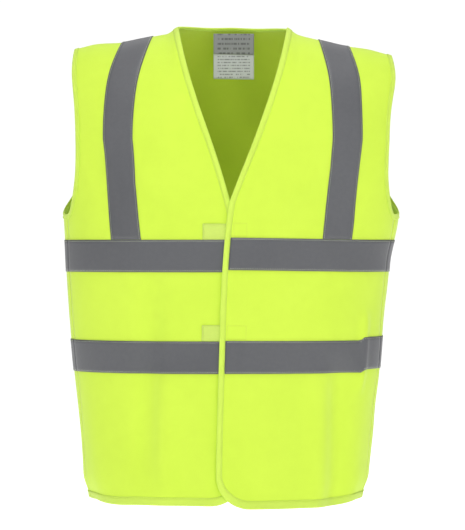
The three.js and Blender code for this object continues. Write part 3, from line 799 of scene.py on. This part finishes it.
for side in (1, -1):
    past, name = PAST_CENTRE[side], SIDE_NAME[side]
    v = v_edge(past)

    rows = front_rows(side)
    panel = dress(cloth_sheet(f"front_cloth_{name}", rows, FRONT, side, 1.1, 0.1), YELLOW)
    bend_with_front(panel)
    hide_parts(f"front_panel_{name}", f"front_flap_{name}")

    turn = np.linspace(0, math.pi / 2, 14)
    corner_q, corner_h = -past + CORNER_RADIUS * (1 - np.cos(turn)), HEM + CORNER_RADIUS * (1 - np.sin(turn))
    corner = np.stack([corner_q, corner_h], -1)
    edge = resample(np.concatenate([v, corner, [[seam_at(HEM, FRONT) - 0.3, HEM]]]), 5)
    width = lambda h: mix(HEM_BINDING, EDGE_BINDING, float(smooth((h - HEM) / CORNER_RADIUS)))
    piece = folded_binding(f"front_binding_{name}", [(edge, FRONT, side, 1)], width)
    dress(piece, BINDING)
    bend_with_front(piece)
    strips = ("neck_binding_front", "front_edge_binding", "hem_binding_front")
    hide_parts(*(f"{strip}_{name}" for strip in strips))
    trims[side].append(piece)
    inset = np.array([width(h) - STITCH_INSET for h in edge[:, 1]])[:, None]
    stitch_row(yellow_rows[side], edge + inward(edge) * inset, FRONT, side, BINDING_TOP)

    for hoop, (h0, h1) in HOOPS.items():
        q0 = lambda h: left_limit(h, past, v) + EDGE_BINDING + 0.2
        q1 = lambda h: seam_at(h, FRONT) - 0.3
        piece, _ = band(f"{hoop}_tape_{name}", FRONT, side, h0, h1, q0, q1, 60)
        dress(piece, TAPE)
        bend_with_front(piece)
        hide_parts(f"{hoop}_tape_front_{name}", f"{hoop}_tape_side_{name}")
        trims[side].append(piece)
        for h in (h0 + TAPE_STITCH_INSET, h1 - TAPE_STITCH_INSET):
            stitch_row(grey_rows[side], [(q0(h) + 2, h), (q1(h) - 2, h)], FRONT, side, TAPE_TOP)

    hook = side > 0
    w, tall = HOOK_SIZE if hook else LOOP_SIZE
    start = -past + EDGE_BINDING + 0.5
    for hoop, (_, h1) in HOOPS.items():
        q0 = lambda h: max(start, left_limit(h, past, v) + EDGE_BINDING + 0.4)
        layer = HOOK_LAYER if hook else LOOP_LAYER
        kind = "hook" if hook else "loop"
        q1 = lambda h: start + w
        piece, _ = band(f"{kind}_pad_{hoop}", FRONT, side, h1 + 0.5, h1 + tall, q0, q1, 16, *layer)
        dress(piece, HOOKS if hook else LOOPS)
        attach(piece, FLAP[side])
        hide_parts(f"{kind}_pad_{hoop}_{name}")
        trims[side].append(piece)
        lo, hi, l0, r0 = h1 + 2.5, h1 + tall - 2, max(q0(h1 + 2), q0(h1 + tall)) + 2, start + w - 2
        frame_path = [(l0, lo), (r0, lo), (r0, hi), (l0, hi), (l0, lo)]
        for a, b in zip(frame_path, frame_path[1:]):
            stitch_row(pad_rows[side], [a, b], FRONT, side, HOOK_TOP if hook else LOOP_TOP, pitch=3.0)

    for face, place in ((FRONT, "front"), (REAR, "back")):
        sgn = 1 if face == FRONT else side
        own = side if face == FRONT else 1
        hs = np.r_[np.linspace(UPPER + 0.3, CHEST_Z, 22), np.linspace(CHEST_Z, TOP - 0.1, 34)[1:]]
        width_steps = np.linspace(-1, 1, 9) * TAPE_WIDTH / 2
        brace_rows = [(sgn * brace_middle(h, face, side) + width_steps, np.full(9, h)) for h in hs]
        piece = cloth_sheet(f"brace_tape_{place}_{name}", brace_rows, face, own, *OUTER_LAYER)
        dress(piece, TAPE)
        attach(piece, "vest")
        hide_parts(f"brace_{place}_{name}")
        trims[side if face == FRONT else 0].append(piece)
        for off in (-TAPE_WIDTH / 2 + TAPE_STITCH_INSET, TAPE_WIDTH / 2 - TAPE_STITCH_INSET):
            path = [(sgn * brace_middle(h, face, side) + off, h) for h in hs[:-1]]
            stitch_row(grey_rows[0], path, face, own, TAPE_TOP)

    fa, ra = arm_edge(FRONT), arm_edge(REAR)
    fa = resample(np.r_[fa, [[ARM_EDGE[FRONT], TOP]]], 5)
    ra = resample(np.r_[ra, [[ARM_EDGE[REAR], TOP]]], 5)[::-1] * [side, 1]
    runs = [(fa, FRONT, side, 1), (ra[1:], REAR, 1, -side)]
    piece = folded_binding(f"armhole_binding_{name}", runs, ARM_BINDING, closed=True)
    dress(piece, BINDING)
    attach(piece, "vest")
    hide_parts(f"armhole_binding_front_{name}", f"armhole_binding_back_{name}")
    trims[side].append(piece)
    for path, face, own, sign in runs:
        row = path + inward(path) * sign * (ARM_BINDING - STITCH_INSET)
        stitch_row(yellow_rows[0], row, face, own, BINDING_TOP)

    for done, thread, kind, slot in (
        (grey_rows[side], GREY_THREAD, "tape", "reflective_tape"),
        (yellow_rows[side], YELLOW_THREAD, "edge", "binding"),
    ):
        piece = dress(stitch_mesh(f"{kind}_stitches_{name}", done), thread)
        bend_with_front(piece)
        trims[side].append(piece)
    piece = dress(stitch_mesh(f"pad_stitches_{name}", pad_rows[side]), YELLOW_THREAD)
    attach(piece, FLAP[side])
    trims[side].append(piece)

# ------------------------------------------------------------------ the back
rows = back_rows()
back = dress(cloth_sheet("back_cloth", rows, REAR, 1, 1.1, 0.1), YELLOW)
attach(back, "vest")
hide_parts("back_panel")
neck_q = np.linspace(-BACK_NECK_Q, BACK_NECK_Q, 60)
neck_path = np.stack([neck_q, TOP - BACK_NECK_DROP * (1 - (np.abs(neck_q) / BACK_NECK_Q) ** 2.6)], -1)
neck_path = resample(neck_path, 4)
hem_path = resample([(-seam_at(HEM, REAR) + 0.3, HEM), (seam_at(HEM, REAR) - 0.3, HEM)], 5)
for label, path, sign, width in (("neck", neck_path, -1, EDGE_BINDING), ("hem", hem_path, 1, HEM_BINDING)):
    piece = dress(folded_binding(f"{label}_binding_rear", [(path, REAR, 1, sign)], width), BINDING)
    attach(piece, "vest")
    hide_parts(f"{label}_binding_back")
    trims[0].append(piece)
    row = path + inward(path) * sign * (width - STITCH_INSET)
    for d in (BINDING_TOP, -1.1) if label == "neck" else (BINDING_TOP,):
        stitch_row(yellow_rows[0], row, REAR, 1, d)
for hoop, (h0, h1) in HOOPS.items():
    q1 = lambda h: seam_at(h, REAR) - 0.3
    piece, _ = band(f"{hoop}_tape_rear", REAR, 1, h0, h1, lambda h: -q1(h), q1, 110)
    dress(piece, TAPE)
    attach(piece, "vest")
    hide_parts(f"{hoop}_tape_back")
    trims[0].append(piece)
    for h in (h0 + TAPE_STITCH_INSET, h1 - TAPE_STITCH_INSET):
        stitch_row(grey_rows[0], [(-q1(h) + 2, h), (q1(h) - 2, h)], REAR, 1, TAPE_TOP)
for done, thread, kind, slot in (
    (grey_rows[0], GREY_THREAD, "tape", "reflective_tape"),
    (yellow_rows[0], YELLOW_THREAD, "edge", "binding"),
):
    piece = dress(stitch_mesh(f"{kind}_stitches_rear", done), thread)
    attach(piece, "vest")
    trims[0].append(piece)

# ------------------------------------------------------------------ labels in the back neck
neck_low = bare(0.0, TOP - BACK_NECK_DROP, REAR).reshape(3)
for node, length, front, material, sway in (
    ("size_label", SIZE_LABEL_LENGTH, 0.9, SHADED_SIZE_PAPER, 1.6),
    ("care_label", CARE_LABEL_LENGTH, 0.0, CARE_PAPER, 3.0),
):
    w, count = 24, 26
    grid = []
    for t in np.linspace(0, 1, count):
        x = np.linspace(-LABEL_WIDTH / 2, LABEL_WIDTH / 2, w)
        u = x / (LABEL_WIDTH / 2)
        y = neck_low[1] - 2.1 - front - sway * t * (0.35 * u**2 + 0.4 * np.sin(t * 2.6) + 0.12 * u)
        z = np.full(w, neck_low[2] - EDGE_BINDING - length * t) - 0.6 * u * t
        grid.append(np.stack([x + 2.0, y, z], -1))
    grid = np.concatenate(grid)
    n = len(grid)
    verts = np.concatenate([grid, grid + [0, 0.35, 0]]) / 1000
    uv = np.stack([(grid[:, 0] - 2) / 1000, grid[:, 2] / 1000], -1)
    faces = []
    for j in range(count - 1):
        for i in range(w - 1):
            a = j * w + i
            faces += [(a, a + w, a + w + 1, a + 1), (a + n, a + 1 + n, a + w + 1 + n, a + w + n)]
    rim = list(range(w)) + [j * w + w - 1 for j in range(1, count)]
    rim += [(count - 1) * w + i for i in range(w - 2, -1, -1)] + [j * w for j in range(count - 2, 0, -1)]
    faces += [(a, b, b + n, a + n) for a, b in zip(rim, rim[1:] + rim[:1])]
    piece = new_mesh(f"{node}_satin", verts, faces, np.concatenate([uv, uv + [0, 3]]))
    dress(piece, material)
    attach(piece, "neck_labels")
    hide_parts(node)

# ------------------------------------------------------------------ floor, light and camera
FLOOR = -0.86


def pale_floor():
    corners = [(x, y, FLOOR) for y in (-14, 14) for x in (-14, 14)]
    obj = new_mesh("pale_floor", np.array(corners), [(0, 1, 3, 2)])
    m, n, l, bsdf, place, cloud, colour = finish(
        "pale_paper", (0.94, 0.94, 0.94), (0.92, 0.92, 0.92), 0.9, 0.6, 20
    )
    l.new(colour, bsdf.inputs["Base Color"])
    bsdf.inputs["Emission Color"].default_value = (1, 1, 1, 1)
    bsdf.inputs["Emission Strength"].default_value = 0.85
    obj.data.materials.append(m)


def soft_light(name, place, target, size, power):
    data = bpy.data.lights.new(name, "AREA")
    data.size, data.energy = size, power
    obj = bpy.data.objects.new(name, data)
    obj.location = place
    obj.rotation_euler = (Vector(target) - Vector(place)).to_track_quat("-Z", "Y").to_euler()
    bpy.context.scene.collection.objects.link(obj)


pale_floor()
soft_light("key_light", (-1.3, -2.6, 2.1), (0, 0, -0.35), 1.0, 24)
soft_light("top_light", (0.2, -0.9, 2.3), (0, 0, -0.1), 1.4, 44)
soft_light("fill_light", (1.8, -2.6, 0.6), (0, 0, -0.35), 1.6, 8)
soft_light("rear_light", (0.0, 2.2, 2.6), (0, 0, -0.3), 2.0, 20)
world = bpy.data.worlds.new("studio")
world.use_nodes = True
n, l = world.node_tree.nodes, world.node_tree.links
plain = n.new("ShaderNodeBackground")
plain.inputs["Color"].default_value, plain.inputs["Strength"].default_value = (1, 1, 1, 1), 1.05
blend = n.new("ShaderNodeMixShader")
l.new(n.new("ShaderNodeLightPath").outputs["Is Camera Ray"], blend.inputs[0])
l.new(n["Background"].outputs[0], blend.inputs[1])
l.new(plain.outputs[0], blend.inputs[2])
l.new(blend.outputs[0], n["World Output"].inputs["Surface"])
n["Background"].inputs["Color"].default_value = (1, 1, 1, 1)
n["Background"].inputs["Strength"].default_value = 0.27
bpy.context.scene.world = world
bpy.context.scene.view_settings.view_transform = "Standard"

camera = bpy.data.cameras.new("camera")
camera.lens, camera.sensor_width = 187.5, 36
eye = bpy.data.objects.new("camera", camera)
eye.location = (0, -4.4, -0.336)
eye.rotation_euler = (Vector((0, 0, -0.376)) - eye.location).to_track_quat("-Z", "Y").to_euler()
bpy.context.scene.collection.objects.link(eye)
bpy.context.scene.camera = eye
